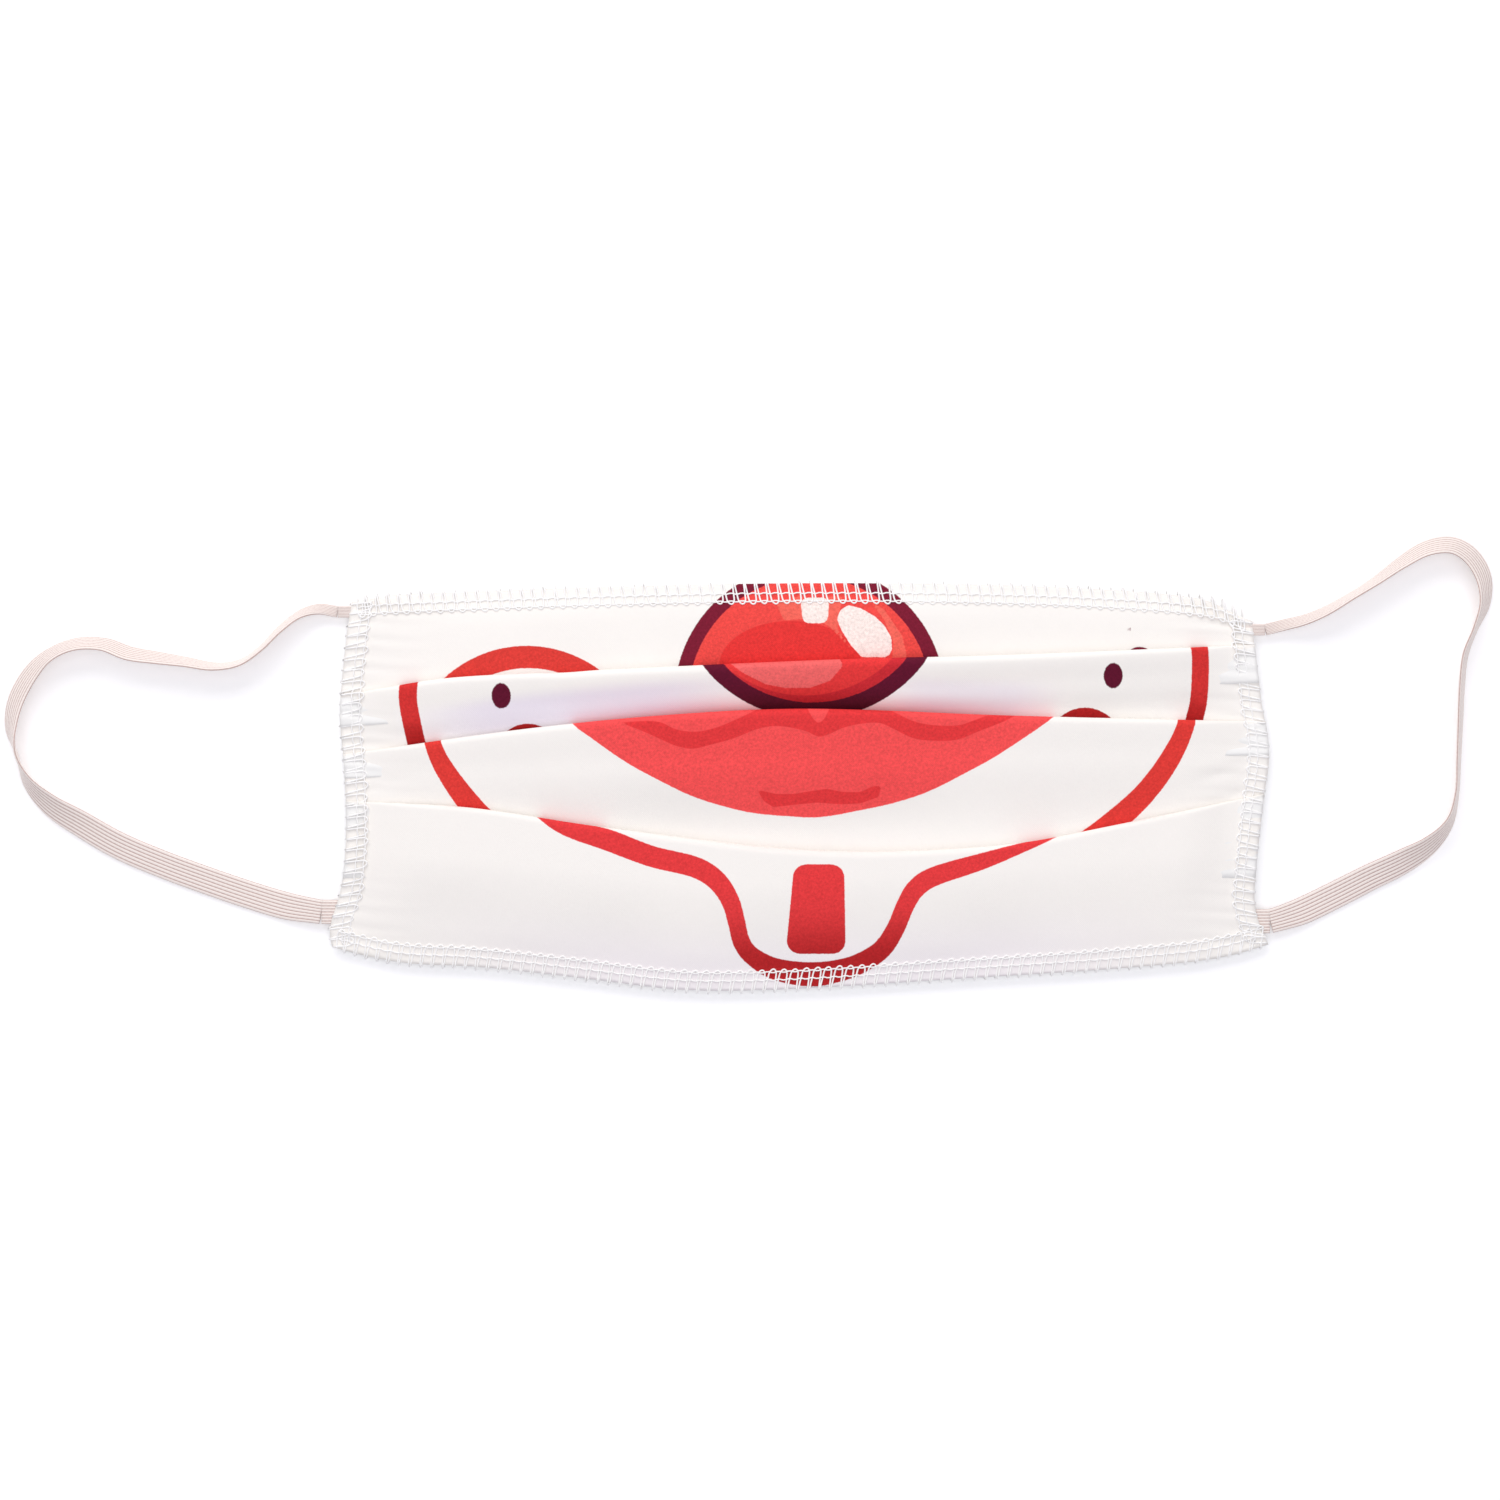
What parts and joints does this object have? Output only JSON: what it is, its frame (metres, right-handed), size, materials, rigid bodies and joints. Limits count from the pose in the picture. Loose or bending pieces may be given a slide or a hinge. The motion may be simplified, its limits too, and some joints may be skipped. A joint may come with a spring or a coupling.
{
  "type": "pleated cloth face mask",
  "caption": "Pleated two-ply cloth face mask with overlocked edges and flat elastic ear loops, lying flat, printed with a painted grin and nose.",
  "frame": {"origin": "under the middle of the mask without its ear loops, on the surface that it lies on", "axes": "+X along the mask's length, to the right when the printed face is seen with its nose edge up; +Y to the edge worn over the nose; +Z out of the printed face"},
  "size_m": [0.3256, 0.0994, 0.0061],
  "materials": {
    "outer_fabric": "matt woven cotton with a printed red, coral and maroon pattern",
    "lining_fabric": "matt plain white cotton",
    "overlock_thread": "spun polyester thread, white",
    "elastic": "flat braided elastic, off-white with fine lengthwise ribs"
  },
  "bodies": {
    "mask_body": {"upper_panel_outer": "outer_fabric", "upper_panel_lining": "lining_fabric", "strip_panel_outer": "outer_fabric", "strip_panel_lining": "lining_fabric", "middle_panel_outer": "outer_fabric", "middle_panel_lining": "lining_fabric", "chin_panel_outer": "outer_fabric", "chin_panel_lining": "lining_fabric", "top_overlock": "overlock_thread", "bottom_overlock": "overlock_thread", "left_overlock": "overlock_thread", "right_overlock": "overlock_thread", "left_upper_tab": "elastic", "left_lower_tab": "elastic", "right_upper_tab": "elastic", "right_lower_tab": "elastic"},
    "upper_pleat": {"upper_pleat_outer": "outer_fabric", "upper_pleat_lining": "lining_fabric"},
    "middle_pleat": {"middle_pleat_outer": "outer_fabric", "middle_pleat_lining": "lining_fabric"},
    "chin_pleat": {"chin_pleat_outer": "outer_fabric", "chin_pleat_lining": "lining_fabric"},
    "left_ear_loop": {"left_ear_elastic": "elastic"},
    "right_ear_loop": {"right_ear_elastic": "elastic"}
  },
  "joints": [
    {"name": "upper_pleat_fold", "type": "hinge", "parent": "mask_body", "child": "upper_pleat", "pos_m": [0, 0.01815, 0.0047], "axis": [0.9989, 0.0469, 0], "range_deg": [0, 40]},
    {"name": "middle_pleat_fold", "type": "hinge", "parent": "mask_body", "child": "middle_pleat", "pos_m": [0, 0.00465, 0.0047], "axis": [0.9997, 0.025, 0], "range_deg": [0, 40]},
    {"name": "chin_pleat_fold", "type": "hinge", "parent": "mask_body", "child": "chin_pleat", "pos_m": [0, -0.01965, 0.0047], "axis": [1, 0, 0], "range_deg": [0, 40]},
    {"name": "left_ear_loop_swing", "type": "hinge", "parent": "mask_body", "child": "left_ear_loop", "pos_m": [-0.10247, 0.0055, 0.0015], "axis": [0.0543, 0.9985, 0], "range_deg": [-90, 120]},
    {"name": "right_ear_loop_swing", "type": "hinge", "parent": "mask_body", "child": "right_ear_loop", "pos_m": [0.10228, 0.00255, 0.0015], "axis": [0.0166, -0.9999, 0], "range_deg": [-90, 120]}
  ]
}
